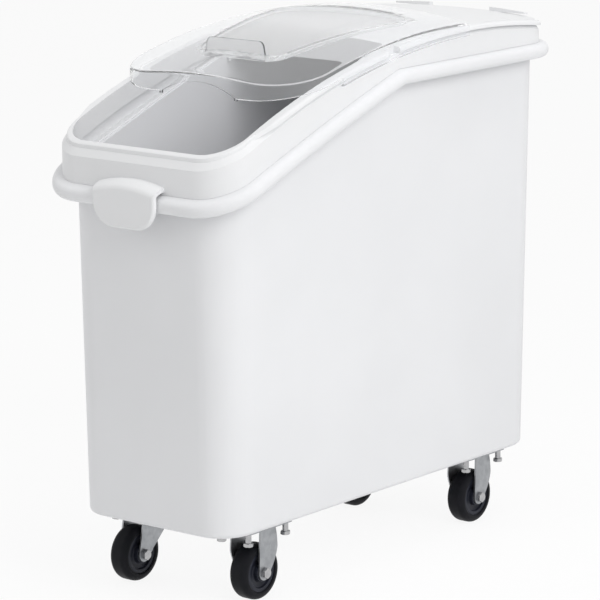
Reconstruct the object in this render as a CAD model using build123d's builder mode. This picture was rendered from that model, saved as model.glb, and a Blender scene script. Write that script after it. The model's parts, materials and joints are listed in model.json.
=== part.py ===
"""Rolling ingredient bin: a slant-top tub, a lift-off lid, a clear sliding cover and four casters.

Millimetres, +Z up, the front of the bin towards -Y, the origin on the ground under the middle of the bin.
"""

import os
from math import hypot, radians, sqrt, tan

from build123d import *

os.makedirs("parts", exist_ok=True)

# Tub walls and floor
TUB_HEIGHT = 573.8  # underside of the floor up to the rear of the rim
BASE_WIDTH = 261.2
BASE_LENGTH = 680.2
BASE_CENTRE_Y = 8.6
BASE_CORNER = 47.0
BASE_ROUND = 7.0
WALL = 4.0
WALL_DRAFT = 1.0  # degrees, the tub widens upward
FLOOR = 5.0
FLOOR_ROUND = 5.0

# Tub rim: a thick bead that slopes up from the front and runs level at the back
RIM_SIDE_REACH = 34.4  # rim outside the foot of the walls
RIM_FRONT_REACH = 36.0
RIM_REAR_REACH = 26.8
RIM_CORNER = 68.0
RIM_LEVEL = 372.0  # length of the level run
RIM_FALL = 133.0  # front of the rim below its rear
RIM_KINK_ROUND = 35.0
RIM_BOW = 4.0  # rise of the slope above its chord
RIM_HEIGHT = 20.0
RIM_ROUND = 9.0
RIM_LIP = 11.0  # thickness of the turned-down lip
RIM_TOP = 8.0  # thickness left above the groove behind the lip

# Lid
LID_INSET = 13.5  # lid wall inside the outer edge of the rim
LID_CORNER = 54.5
LID_WALL = 3.5
LID_TOP = 3.5
SEAT_GAP = 0.3
SEAT_FLANGE = 3.0
RIB = 3.0
RIB_DEPTH = 10.0
RIB_CLEARANCE = 0.5
SLIDE_OFFSET = 165.0  # axis that the rails are curved about, behind the kink of the rim
LIP_TOP_RISE = 41.5  # top of the rails above the level run of the rim
LIP_FRONT_RISE = 53.4  # front of the lip above the front of the rim
BEAD_HEIGHT = 5.0
BEAD_ROUND = 2.2
SHOULDER = 6.5  # bevel from the bead down to the lid wall
RAIL_HEIGHT = 6.5
RAIL_PROUD = 3.0
RAIL_ROUND = 5.0  # top edge of the rail
RAIL_START = 54.0  # from the lid's front to the point where the rail stands out from the bead
RAIL_TAPER = 45.0
OPENING_MARGIN = 11.5  # side of the opening inside the lid wall
OPENING_INSET = 27.0  # front edge of the opening behind the front of the rim
OPENING_LEAD = 5.0  # rear edge of the opening ahead of the kink of the rim
OPENING_CORNER = 46.0
OPENING_REAR_CORNER = 12.0
LIP_RETURN = 3.0
LIP_RETURN_DEPTH = 26.0
NOTCH_LEAD = 19.0  # front of a side notch ahead of the rear edge of the opening
NOTCH_LENGTH = 23.0
NOTCH_DEPTH = 9.0
DECK_INSET = 5.5  # edge of the crowned deck inside the lid wall
DECK_CROWN = 8.3
LUG_X = 82.0
LUG_LENGTH = 62.0
LUG_WIDTH = 9.0
LUG_HEIGHT = 5.0
LUG_ROUND = 3.0
LUG_REAR_GAP = 2.0  # from the rear of a lug to the rear edge of the deck
TAB_WIDTH = 104.0
TAB_PROUD = 8.0  # face of the tab ahead of the rim
TAB_THICKNESS = 6.0
TAB_DROP = 40.0  # bottom of the tab below the front of the rim
TAB_SHOULDER_RISE = 15.5
TAB_TOP_RISE = 22.5
TAB_BRIDGE_RISE = 10.0  # underside of the bridge from the lid wall to the tab
TAB_CORNER = 32.0
TAB_ROUND = 4.0

# Clear cover
COVER_SIDE_GAP = 1.2  # from the skirt to the rail inside it
COVER_LAP = 40.0  # cover longer than the opening
COVER_REAR_OFFSET = 149.5  # rear edge behind the kink of the rim
COVER_CORNER = 78.0
COVER_SHEET = 2.8
COVER_ROUND = 6.0
COVER_GAP = 0.4  # underside of the roof above the rails, at its rear edge
ROOF_FRONT_RISE = 18.3  # edge of the roof above the rails, at its front
ROOF_LEAD = 46.0  # crest of the roof ahead of its rear edge
ROOF_CROWN = 15.0
SKIRT_FRONT_RISE = 6.2  # front of the skirt above the rails
HOOK_SETBACK = 104.0  # front of the hooks behind the front of the cover
HOOK_STEP = 10.5
HOOK_GAP = 0.6
HOOK_HEIGHT = 5.0
HOOK_CLEARANCE = 0.5  # from the hook to the lid wall beside it
ARCH_WIDTH = 126.0
ARCH_HEIGHT = 17.2
NIB_WIDTH = 4.0
NIB_DROP = 2.5
NIB_RISE = 6.0
PANEL_DEPTH = 7.0  # floor of the sunk panel below the roof, along the middle
PANEL_CROWN = 8.0
PANEL_ROUND = 1.2
PANEL_SETBACK = 76.0  # front of the panel behind the front of the cover
PANEL_REAR_MARGIN = 58.0
PANEL_FRONT_WIDTH = 134.0
PANEL_REAR_WIDTH = 224.0
PANEL_CORNER = 28.0
GRIP_WIDTH = 103.5
GRIP_TOP_WIDTH = 93.0
GRIP_RISE = 15.0  # top of the upright tab above the roof at its foot
GRIP_HEIGHT = 28.0  # from its top down to its foot, which lies inside the panel
GRIP_THICKNESS = 3.0
GRIP_CORNER = 8.0

# Casters
CASTER_INSET_X = 39.6  # middle of a plate inside the foot of the walls
CASTER_INSET_Y = 100.8
PLATE_WIDTH = 62.0
PLATE_LENGTH = 92.0
PLATE_THICKNESS = 3.0
PLATE_CORNER = 7.0
WHEEL_DIAMETER = 75.0
TYRE_WIDTH = 28.0
TYRE_ROUND = 8.5
TYRE_DEPTH = 10.5  # from the tread to the core
TYRE_SIDE = 1.5  # depth of the tyre's flat side ring below its tread shoulder
CORE_RIM = 5.5
CORE_RIM_WIDTH = 24.0
CORE_WEB = 16.0
HUB_DIAMETER = 25.0
HUB_CLEARANCE = 0.5
FORK_GAP = 32.0  # between the inner faces of a caster's legs
FORK_SHEET = 2.5
CREASE_DEPTH = 0.7
SLEEVE_DIAMETER = 12.0
RUNNING_FIT = 0.08
PRESS_FIT = 0.05
AXLE_DIAMETER = 8.0
AXLE_HEAD = 13.0  # across flats
AXLE_HEAD_HEIGHT = 5.5
AXLE_NUT_HEIGHT = 6.5
AXLE_TAIL = 1.5
HOLE_CLEARANCE = 0.3
HEX_CHAMFER = 0.8
TRAIL = 29.0

# Rigid caster legs, seen from the side, from the axle
LEG_BOSS = 10.0
LEG_FRONT_TOP = 8.0
LEG_FRONT_AXLE = 11.0
LEG_HEEL_DROP = 2.5
LEG_REAR_AXLE = 19.5
LEG_REAR_RISE = 10.0
LEG_BULGE = 27.4
LEG_BULGE_RISE = 30.5
LEG_REAR_TOP = 22.0
LEG_CREASE_AXLE = 10.0
LEG_CREASE_TOP = 14.0
LEG_FLANGE = 13.0
RIVET_DIAMETER = 5.0
RIVET_HEAD = 8.5
RIVET_HEAD_HEIGHT = 2.0
RIVET_SPACING = 16.0

# Swivel caster heads
CROWN_DIAMETER = 66.0
CROWN_GAP = 10.5  # from the top of the wheel to the crown
HEAD_HEIGHT = 11.7  # from the crown to the plate
FORK_SHOULDER_DROP = 11.0
FORK_FRONT_TOP = 3.0
FORK_KNEE = 42.0
FORK_KNEE_RISE = 27.5
FORK_CREASE = 16.0
KINGPIN_DIAMETER = 12.0
KINGPIN_HEAD = 21.0
KINGPIN_HEAD_HEIGHT = 4.0
KINGPIN_COLLAR = 18.0
KINGPIN_COLLAR_HEIGHT = 3.0
KINGPIN_GAP = 0.3
BALL_DIAMETER = 7.0
BALL_COUNT = 14
BALL_PITCH = 40.0
BALL_CLEARANCE = 0.1
RACE_WIDTH = 13.0
RACE_GAP = 2.6

# Fasteners that hold the plates to the floor
BOLT_PITCH_X = 45.0
BOLT_PITCH_Y = 76.0
BOLT_DIAMETER = 6.0
BOLT_SHOULDER = 8.0
BOLT_SHOULDER_LENGTH = 12.5
BOLT_HEAD = 12.0  # across flats
BOLT_HEAD_HEIGHT = 5.0
BOLT_TAIL = 1.5
WASHER_DIAMETER = 16.0
WASHER_THICKNESS = 1.6
NUT_WIDTH = 10.0  # across flats
NUT_HEIGHT = 5.0

# Places worked out from the sizes above
REACH = 20.0  # how far cutting shapes run past the solid that they cut
HEADROOM = 123.5  # room kept above the level run of the rim
ROOF_DEPTH = 95.0  # from the top of the cover to below its skirts
CORE_DIAMETER = WHEEL_DIAMETER - 2 * TYRE_DEPTH
CROWN_Z = WHEEL_DIAMETER + CROWN_GAP
CROWN_TOP_Z = CROWN_Z + FORK_SHEET
PLATE_Z = CROWN_TOP_Z + HEAD_HEIGHT
BASE_HEIGHT = PLATE_Z + PLATE_THICKNESS
RIM_REAR_Z = BASE_HEIGHT + TUB_HEIGHT
RIM_FRONT_Z = RIM_REAR_Z - RIM_FALL
BLANK_TOP = RIM_REAR_Z + HEADROOM
RIM_WIDTH = BASE_WIDTH + 2 * RIM_SIDE_REACH
RIM_FRONT_Y = BASE_CENTRE_Y - BASE_LENGTH / 2 - RIM_FRONT_REACH
RIM_REAR_Y = BASE_CENTRE_Y + BASE_LENGTH / 2 + RIM_REAR_REACH
RIM_LENGTH = RIM_REAR_Y - RIM_FRONT_Y
RIM_CENTRE_Y = (RIM_FRONT_Y + RIM_REAR_Y) / 2
RIM_KINK_Y = RIM_REAR_Y - RIM_LEVEL
DRAFT_SLOPE = tan(radians(WALL_DRAFT))
SLOPE_RUN = RIM_KINK_Y - RIM_FRONT_Y
SLOPE_CHORD = hypot(SLOPE_RUN, RIM_FALL)
SLOPE_RADIUS = (SLOPE_CHORD**2 / 4 + RIM_BOW**2) / (2 * RIM_BOW)
SLOPE_CENTRE_Y = (RIM_FRONT_Y + RIM_KINK_Y) / 2 + (SLOPE_RADIUS - RIM_BOW) * RIM_FALL / SLOPE_CHORD
SLOPE_CENTRE_Z = (RIM_FRONT_Z + RIM_REAR_Z) / 2 - (SLOPE_RADIUS - RIM_BOW) * SLOPE_RUN / SLOPE_CHORD
LID_WIDTH = RIM_WIDTH - 2 * LID_INSET
LID_LENGTH = RIM_LENGTH - 2 * LID_INSET
LID_FRONT_Y = RIM_FRONT_Y + LID_INSET
LID_REAR_Y = RIM_REAR_Y - LID_INSET
OPENING_WIDTH = LID_WIDTH - 2 * OPENING_MARGIN
OPENING_FRONT_Y = RIM_FRONT_Y + OPENING_INSET
OPENING_REAR_Y = RIM_KINK_Y - OPENING_LEAD
NOTCH_FRONT_Y = OPENING_REAR_Y - NOTCH_LEAD
DECK_REAR_Y = LID_REAR_Y - DECK_INSET
SLIDE_Y = RIM_KINK_Y + SLIDE_OFFSET
RAIL_RUN = SLIDE_Y - LID_FRONT_Y
RAIL_FALL = RIM_FALL + LIP_TOP_RISE - LIP_FRONT_RISE
RAIL_RADIUS = (RAIL_RUN**2 + RAIL_FALL**2) / (2 * RAIL_FALL)
SLIDE_Z = RIM_REAR_Z + LIP_TOP_RISE - RAIL_RADIUS
WALL_TOP_RADIUS = RAIL_RADIUS - BEAD_HEIGHT
GROOVE_RADIUS = RAIL_RADIUS - RAIL_HEIGHT
TAB_FACE_Y = RIM_FRONT_Y - TAB_PROUD
TAB_BOTTOM_Z = RIM_FRONT_Z - TAB_DROP
TAB_SHOULDER_Z = RIM_FRONT_Z + TAB_SHOULDER_RISE
TAB_TOP_Z = RIM_FRONT_Z + TAB_TOP_RISE
TAB_BRIDGE_Z = RIM_FRONT_Z + TAB_BRIDGE_RISE
COVER_WIDTH = LID_WIDTH + 2 * (RAIL_PROUD + COVER_SIDE_GAP + COVER_SHEET)
COVER_REAR_Y = RIM_KINK_Y + COVER_REAR_OFFSET
COVER_FRONT_Y = COVER_REAR_Y - (OPENING_REAR_Y - OPENING_FRONT_Y) - COVER_LAP
HOOK_FRONT_Y = COVER_FRONT_Y + HOOK_SETBACK
PANEL_FRONT_Y = COVER_FRONT_Y + PANEL_SETBACK
PANEL_REAR_Y = COVER_REAR_Y - PANEL_REAR_MARGIN
HOOK_TOP_RADIUS = GROOVE_RADIUS - HOOK_GAP
HOOK_RADIUS = HOOK_TOP_RADIUS - HOOK_HEIGHT
AXLE_Z = WHEEL_DIAMETER / 2
LEG_OUTSIDE = FORK_GAP / 2 + FORK_SHEET
CASTER_X = BASE_WIDTH / 2 - CASTER_INSET_X
CASTER_REACH = BASE_LENGTH / 2 - CASTER_INSET_Y
SIDES_X = (("left", -CASTER_X), ("right", CASTER_X))
ENDS_Y = (("front", BASE_CENTRE_Y - CASTER_REACH), ("rear", BASE_CENTRE_Y + CASTER_REACH))
CASTERS = [(f"{end}_{side}", x, y) for end, y in ENDS_Y for side, x in SIDES_X]
BOLT_PLACES = [
    (x + i * BOLT_PITCH_X / 2, y + j * BOLT_PITCH_Y / 2)
    for _, x, y in CASTERS
    for i in (-1, 1)
    for j in (-1, 1)
]


def save(part, name):
    """Label one finished piece and write it under its own name."""
    part.label = name
    export_step(part, f"parts/{name}.step")


# Lines of the side view
def slope_point(y, rise):
    """Point of the sloping run of the rim, raised square to the slope."""
    radius = SLOPE_RADIUS + rise
    return (y, SLOPE_CENTRE_Z + sqrt(radius**2 - (y - SLOPE_CENTRE_Y) ** 2))


def rim_line(rise):
    """Start, middle and kink of the sloping run of the rim, and the end of its level run."""
    level = RIM_REAR_Z + rise
    kink_y = SLOPE_CENTRE_Y - sqrt((SLOPE_RADIUS + rise) ** 2 - (level - SLOPE_CENTRE_Z) ** 2)
    start_y = RIM_FRONT_Y - REACH
    start = slope_point(start_y, rise)
    middle = slope_point((start_y + kink_y) / 2, rise)
    return start, middle, (kink_y, level), (RIM_REAR_Y + REACH, level)


def arc_point(y, radius):
    """Point at y on an arc about the slide axis."""
    return (y, SLIDE_Z + sqrt(radius**2 - (y - SLIDE_Y) ** 2))


def rim_band(low, high, mode):
    """Keep or cut what lies between two lines that follow the rim."""
    with BuildSketch(Plane.YZ) as band:
        with BuildLine():
            start, middle, kink, end = rim_line(high)
            low_start, low_middle, low_kink, low_end = rim_line(low)
            ThreePointArc(start, middle, kink)
            Line(kink, end)
            Line(end, low_end)
            Line(low_end, low_kink)
            ThreePointArc(low_kink, low_middle, low_start)
            Line(low_start, start)
        make_face()
        fillet(band.vertices().sort_by(Axis.X)[2:4], RIM_KINK_ROUND)
    extrude(band.sketch, amount=RIM_WIDTH, both=True, mode=mode)


def under_arc(rise, radius, mode):
    """Keep or cut what lies between a line along the rim and an arc about the slide axis."""
    with BuildSketch(Plane.YZ) as side:
        with BuildLine():
            start, middle, kink, end = rim_line(rise)
            top_end = arc_point(end[0], radius)
            top_start = arc_point(start[0], radius)
            ThreePointArc(start, middle, kink)
            Line(kink, end)
            Line(end, top_end)
            ThreePointArc(top_end, arc_point((top_start[0] + top_end[0]) / 2, radius), top_start)
            Line(top_start, start)
        make_face()
        fillet(side.vertices().sort_by(Axis.X)[2], RIM_KINK_ROUND)
    extrude(side.sketch, amount=RIM_WIDTH, both=True, mode=mode)


def slide_band(low, high, front_y, rear_y, mode):
    """Keep or cut what lies between two arcs about the slide axis, from front_y to rear_y."""
    middle_y = (front_y + rear_y) / 2
    with BuildSketch(Plane.YZ) as band:
        with BuildLine():
            ThreePointArc(arc_point(front_y, high), arc_point(middle_y, high), arc_point(rear_y, high))
            Line(arc_point(rear_y, high), arc_point(rear_y, low))
            ThreePointArc(arc_point(rear_y, low), arc_point(middle_y, low), arc_point(front_y, low))
            Line(arc_point(front_y, low), arc_point(front_y, high))
        make_face()
    extrude(band.sketch, amount=RIM_WIDTH, both=True, mode=mode)


def crowned_ring(axis_y, axis_z, edge_radius, half_width, crown, depth, mode):
    """Keep what lies under a roof that is curved about an X axis and bowed across its width."""
    bow = (half_width**2 + crown**2) / (2 * crown)
    top = axis_z + edge_radius + crown
    with BuildSketch(Plane.XZ.offset(-axis_y)) as section:
        with Locations((0, top - bow)):
            Circle(bow)
        with Locations((0, top)):
            Rectangle(2 * (half_width + REACH), 2 * depth, mode=Mode.INTERSECT)
    revolve(section.sketch, axis=Axis((0, axis_y, axis_z), (1, 0, 0)), mode=mode)


# Tub
def tub_blank(inset, level, mode=Mode.ADD):
    """Solid inside the leaning walls, from a level upward, drawn in by an inset."""
    spread = (level - BASE_HEIGHT) * DRAFT_SLOPE - inset
    with BuildSketch(Plane.XY.offset(level)) as outline:
        with Locations((0, BASE_CENTRE_Y)):
            RectangleRounded(BASE_WIDTH + 2 * spread, BASE_LENGTH + 2 * spread, BASE_CORNER + spread)
    extrude(outline.sketch, amount=BLANK_TOP - level, taper=-WALL_DRAFT, mode=mode)


def rim_plan(inset):
    """Upright solid inside the outline of the rim, drawn in by an inset."""
    with BuildSketch(Plane.XY.offset(BASE_HEIGHT)) as outline:
        with Locations((0, RIM_CENTRE_Y)):
            RectangleRounded(RIM_WIDTH - 2 * inset, RIM_LENGTH - 2 * inset, RIM_CORNER - inset)
    extrude(outline.sketch, amount=BLANK_TOP - BASE_HEIGHT)


with BuildPart() as rim:
    rim_plan(0)
    rim_band(-RIM_HEIGHT, 0, Mode.INTERSECT)
    outline = rim.edges() - rim.edges().filter_by(Axis.Z)
    inner_span = (RIM_FRONT_Y + RIM_ROUND, RIM_REAR_Y - RIM_ROUND)
    across = rim.edges().filter_by(Axis.X).filter_by_position(Axis.Y, *inner_span)
    fillet(outline - across, RIM_ROUND)

with BuildPart() as rim_groove:
    rim_plan(RIM_LIP)
    rim_band(-RIM_HEIGHT - REACH, -RIM_TOP, Mode.INTERSECT)
    tub_blank(0, BASE_HEIGHT, Mode.SUBTRACT)

with BuildPart() as tub_cavity:
    tub_blank(WALL, BASE_HEIGHT + FLOOR)
    fillet(tub_cavity.faces().sort_by(Axis.Z)[0].edges(), FLOOR_ROUND)

with BuildPart() as tub:
    tub_blank(0, BASE_HEIGHT)
    fillet(tub.faces().sort_by(Axis.Z)[0].edges(), BASE_ROUND)
    rim_band(-RIM_TOP, BLANK_TOP, Mode.SUBTRACT)
    add(rim.part)
    add(rim_groove.part, mode=Mode.SUBTRACT)
    add(tub_cavity.part, mode=Mode.SUBTRACT)
    with BuildSketch(Plane.XY.offset(BASE_HEIGHT)):
        with Locations(*BOLT_PLACES):
            Circle(BOLT_DIAMETER / 2 + HOLE_CLEARANCE)
    extrude(amount=FLOOR, mode=Mode.SUBTRACT)
save(tub.part, "tub")


# Lid
def lid_plan(grow):
    """Upright solid inside the outline of the lid wall, grown by a margin."""
    with BuildSketch(Plane.XY.offset(BASE_HEIGHT)) as outline:
        with Locations((0, RIM_CENTRE_Y)):
            RectangleRounded(LID_WIDTH + 2 * grow, LID_LENGTH + 2 * grow, LID_CORNER + grow)
    extrude(outline.sketch, amount=BLANK_TOP - BASE_HEIGHT)


def rib_plan(inset):
    """Upright solid inside the rib that drops into the mouth of the tub, drawn in by an inset."""
    spread = (RIM_FRONT_Z - RIB_DEPTH - BASE_HEIGHT) * DRAFT_SLOPE - WALL - RIB_CLEARANCE - inset
    with BuildSketch(Plane.XY.offset(BASE_HEIGHT)) as outline:
        with Locations((0, BASE_CENTRE_Y)):
            RectangleRounded(BASE_WIDTH + 2 * spread, BASE_LENGTH + 2 * spread, BASE_CORNER + spread)
    extrude(outline.sketch, amount=BLANK_TOP - BASE_HEIGHT)


def opening_plan(grow, mode=Mode.ADD):
    """Upright solid inside the outline of the lid's opening, grown by a margin."""
    half = OPENING_WIDTH / 2 + grow
    with BuildSketch(Plane.XY.offset(BASE_HEIGHT)) as outline:
        with BuildLine():
            Polyline(
                (-half, OPENING_FRONT_Y - grow),
                (half, OPENING_FRONT_Y - grow),
                (half, OPENING_REAR_Y + grow),
                (-half, OPENING_REAR_Y + grow),
                close=True,
            )
        make_face()
        fillet(outline.vertices().group_by(Axis.Y)[0], OPENING_CORNER + grow)
        fillet(outline.vertices().group_by(Axis.Y)[-1], OPENING_REAR_CORNER + grow)
    extrude(outline.sketch, amount=BLANK_TOP - BASE_HEIGHT, mode=mode)


def deck_plan(inset):
    """Upright solid inside the outline of the rear deck, drawn in by an inset."""
    half = LID_WIDTH / 2 - DECK_INSET - inset
    with BuildSketch(Plane.XY.offset(RIM_REAR_Z)) as outline:
        with BuildLine():
            Polyline(
                (-half, OPENING_REAR_Y + inset),
                (half, OPENING_REAR_Y + inset),
                (half, DECK_REAR_Y - inset),
                (-half, DECK_REAR_Y - inset),
                close=True,
            )
        make_face()
        fillet(outline.vertices().group_by(Axis.Y)[-1], LID_CORNER - DECK_INSET - inset)
    extrude(outline.sketch, amount=BLANK_TOP - RIM_REAR_Z)


def deck_surface(rise, depth):
    """Keep what lies within a depth under the crowned deck, raised or lowered."""
    crowned_ring(SLIDE_Y, SLIDE_Z, RAIL_RADIUS + rise, LID_WIDTH / 2, DECK_CROWN, depth, Mode.INTERSECT)


with BuildPart() as lid_walls:
    lid_plan(0)
    under_arc(SEAT_GAP, WALL_TOP_RADIUS, Mode.INTERSECT)
    chamfer(lid_walls.faces().sort_by(Axis.Z)[-1].edges(), SHOULDER)

with BuildPart() as lid_bead:
    lid_plan(-SHOULDER)
    slide_band(WALL_TOP_RADIUS - LID_TOP, RAIL_RADIUS, RIM_FRONT_Y, RIM_REAR_Y, Mode.INTERSECT)
    fillet(lid_bead.faces().sort_by(Axis.Z)[-1].edges(), BEAD_ROUND)

with BuildPart() as lid_rail:
    lid_plan(RAIL_PROUD)
    slide_band(GROOVE_RADIUS, RAIL_RADIUS, RIM_FRONT_Y, RIM_REAR_Y, Mode.INTERSECT)
    fillet(lid_rail.faces().sort_by(Axis.Z)[-1].edges(), RAIL_ROUND)
    with BuildSketch(Plane.XY.offset(BASE_HEIGHT)):
        with BuildLine():
            bead_x = LID_WIDTH / 2 - SHOULDER - BEAD_ROUND
            rail_x = LID_WIDTH / 2 + RAIL_PROUD
            start_y = LID_FRONT_Y + RAIL_START
            full_y = start_y + RAIL_TAPER
            end_y = RIM_REAR_Y + REACH
            right = [(bead_x, start_y), (rail_x, full_y), (rail_x, end_y)]
            left = [(-x, y) for x, y in reversed(right)]
            Polyline(*right, *left, close=True)
        make_face()
    extrude(amount=BLANK_TOP - BASE_HEIGHT, mode=Mode.INTERSECT)

with BuildPart() as lid_deck:
    deck_plan(0)
    deck_surface(0, DECK_CROWN + LID_TOP)

with BuildPart() as lid_deck_hollow:
    deck_plan(LID_TOP)
    deck_surface(-LID_TOP, DECK_CROWN + BEAD_HEIGHT + SHOULDER + LID_TOP)

with BuildPart() as lid_hollow:
    lid_plan(-LID_WALL)
    under_arc(SEAT_GAP + SEAT_FLANGE, WALL_TOP_RADIUS - SHOULDER, Mode.INTERSECT)

with BuildPart() as lid_rib:
    rib_plan(0)
    rim_band(-RIB_DEPTH, SEAT_GAP + SEAT_FLANGE, Mode.INTERSECT)

with BuildPart() as lid_mouth:
    rib_plan(RIB)
    rim_band(-RIB_DEPTH - REACH, SEAT_GAP + SEAT_FLANGE + REACH, Mode.INTERSECT)

with BuildPart() as lid_return:
    opening_plan(LIP_RETURN)
    return_low = RAIL_RADIUS - LIP_RETURN_DEPTH
    slide_band(return_low, RAIL_RADIUS - LID_TOP / 2, RIM_FRONT_Y, RIM_REAR_Y, Mode.INTERSECT)

with BuildPart() as lid_tab:
    with BuildSketch(Plane.XZ.offset(-TAB_FACE_Y)) as face:
        with BuildLine():
            half_tab = TAB_WIDTH / 2
            Line((-half_tab, TAB_BOTTOM_Z), (half_tab, TAB_BOTTOM_Z))
            Line((half_tab, TAB_BOTTOM_Z), (half_tab, TAB_SHOULDER_Z))
            ThreePointArc((half_tab, TAB_SHOULDER_Z), (0, TAB_TOP_Z), (-half_tab, TAB_SHOULDER_Z))
            Line((-half_tab, TAB_SHOULDER_Z), (-half_tab, TAB_BOTTOM_Z))
        make_face()
        fillet(face.vertices().group_by(Axis.Y)[0], TAB_CORNER)
    extrude(amount=TAB_FACE_Y - LID_FRONT_Y - LID_WALL / 2)
    fillet(lid_tab.faces().sort_by(Axis.Y)[0].edges(), TAB_ROUND)
    with BuildSketch(Plane.YZ):
        with Locations((TAB_FACE_Y + TAB_THICKNESS, TAB_BRIDGE_Z)):
            Rectangle(RIM_LIP + LID_INSET + REACH, TAB_TOP_Z - TAB_BOTTOM_Z, align=(Align.MIN, Align.MAX))
    extrude(amount=TAB_WIDTH, both=True, mode=Mode.SUBTRACT)

with BuildPart() as lid_lugs:
    lug_y = DECK_REAR_Y - LUG_REAR_GAP - LUG_WIDTH / 2
    with BuildSketch(Plane.XY.offset(RIM_REAR_Z)):
        with Locations((-LUG_X, lug_y), (LUG_X, lug_y)):
            RectangleRounded(LUG_LENGTH, LUG_WIDTH, LUG_ROUND)
    extrude(amount=BLANK_TOP - RIM_REAR_Z)
    deck_surface(LUG_HEIGHT, LUG_HEIGHT + LID_TOP / 2)

with BuildPart() as lid_notches:
    with BuildSketch(Plane.XY.offset(BASE_HEIGHT)):
        for side in (-1, 1):
            with Locations((side * (OPENING_WIDTH / 2 + LIP_RETURN), NOTCH_FRONT_Y)):
                edge = Align.MIN if side > 0 else Align.MAX
                Rectangle(RIM_WIDTH / 2, NOTCH_LENGTH, align=(edge, Align.MIN))
    extrude(amount=BLANK_TOP - BASE_HEIGHT)
    slide_band(RAIL_RADIUS - NOTCH_DEPTH, RAIL_RADIUS + REACH, RIM_FRONT_Y, RIM_REAR_Y, Mode.INTERSECT)

with BuildPart() as lid:
    add(lid_walls.part)
    add(lid_bead.part)
    add(lid_rail.part)
    add(lid_deck.part)
    add(lid_hollow.part, mode=Mode.SUBTRACT)
    add(lid_deck_hollow.part, mode=Mode.SUBTRACT)
    add(lid_rib.part)
    add(lid_mouth.part, mode=Mode.SUBTRACT)
    add(lid_return.part)
    opening_plan(0, Mode.SUBTRACT)
    add(lid_notches.part, mode=Mode.SUBTRACT)
    add(lid_tab.part)
    add(lid_lugs.part)
save(lid.part, "lid")


# Clear cover
ROOF_Y = COVER_REAR_Y - ROOF_LEAD
ROOF_RUN = ROOF_Y - COVER_FRONT_Y
ROOF_REAR_Z = arc_point(COVER_REAR_Y, RAIL_RADIUS)[1] + COVER_GAP + COVER_SHEET
ROOF_FRONT_Z = arc_point(COVER_FRONT_Y, RAIL_RADIUS)[1] + ROOF_FRONT_RISE
ROOF_MIDDLE_Z = (ROOF_REAR_Z + ROOF_FRONT_Z) / 2
ROOF_Z = ROOF_MIDDLE_Z - (ROOF_RUN**2 - ROOF_LEAD**2) / (2 * (ROOF_REAR_Z - ROOF_FRONT_Z))
ROOF_RADIUS = hypot(ROOF_LEAD, ROOF_REAR_Z - ROOF_Z)
SKIRT_FRONT_Z = arc_point(COVER_FRONT_Y, RAIL_RADIUS)[1] + SKIRT_FRONT_RISE
GRIP_REACH = sqrt((ROOF_RADIUS + ROOF_CROWN) ** 2 - (ROOF_Y - PANEL_FRONT_Y) ** 2)
GRIP_TOP_Z = ROOF_Z + GRIP_REACH + GRIP_RISE


def cover_plan(inset, rear_reach):
    """Upright solid inside the outline of the cover, drawn in at the front and the sides."""
    half = COVER_WIDTH / 2 - inset
    front = COVER_FRONT_Y + inset
    rear = COVER_REAR_Y + rear_reach
    with BuildSketch(Plane.XY.offset(BASE_HEIGHT)) as outline:
        with BuildLine():
            Polyline((-half, front), (half, front), (half, rear), (-half, rear), close=True)
        make_face()
        fillet(outline.vertices().group_by(Axis.Y)[0], COVER_CORNER - inset)
    extrude(outline.sketch, amount=BLANK_TOP - BASE_HEIGHT)


def roof(rise, mode):
    """Keep what lies under the cover's roof, raised or lowered."""
    crowned_ring(ROOF_Y, ROOF_Z, ROOF_RADIUS + rise, COVER_WIDTH / 2, ROOF_CROWN, ROOF_DEPTH, mode)


def panel_recess(spread):
    """What the sunk panel takes out of the roof, or out of the hollow under it with the sheet as spread."""
    front_half = PANEL_FRONT_WIDTH / 2 + spread
    rear_half = PANEL_REAR_WIDTH / 2 + spread
    front = PANEL_FRONT_Y - spread
    rear = PANEL_REAR_Y + spread
    floor_radius = ROOF_RADIUS + ROOF_CROWN - PANEL_DEPTH - PANEL_CROWN - spread
    with BuildSketch(Plane.XY.offset(SKIRT_FRONT_Z)) as outline:
        with BuildLine():
            front_edge = ((-front_half, front), (front_half, front))
            rear_edge = ((rear_half, rear), (-rear_half, rear))
            Polyline(*front_edge, *rear_edge, close=True)
        make_face()
        fillet(outline.vertices(), PANEL_CORNER + spread)
    extrude(outline.sketch, amount=BLANK_TOP - SKIRT_FRONT_Z)
    crowned_ring(ROOF_Y, ROOF_Z, floor_radius, COVER_WIDTH / 2, PANEL_CROWN, ROOF_DEPTH, Mode.SUBTRACT)


with BuildPart() as panel_room:
    panel_recess(0)

with BuildPart() as panel_sheet:
    panel_recess(COVER_SHEET)

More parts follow.
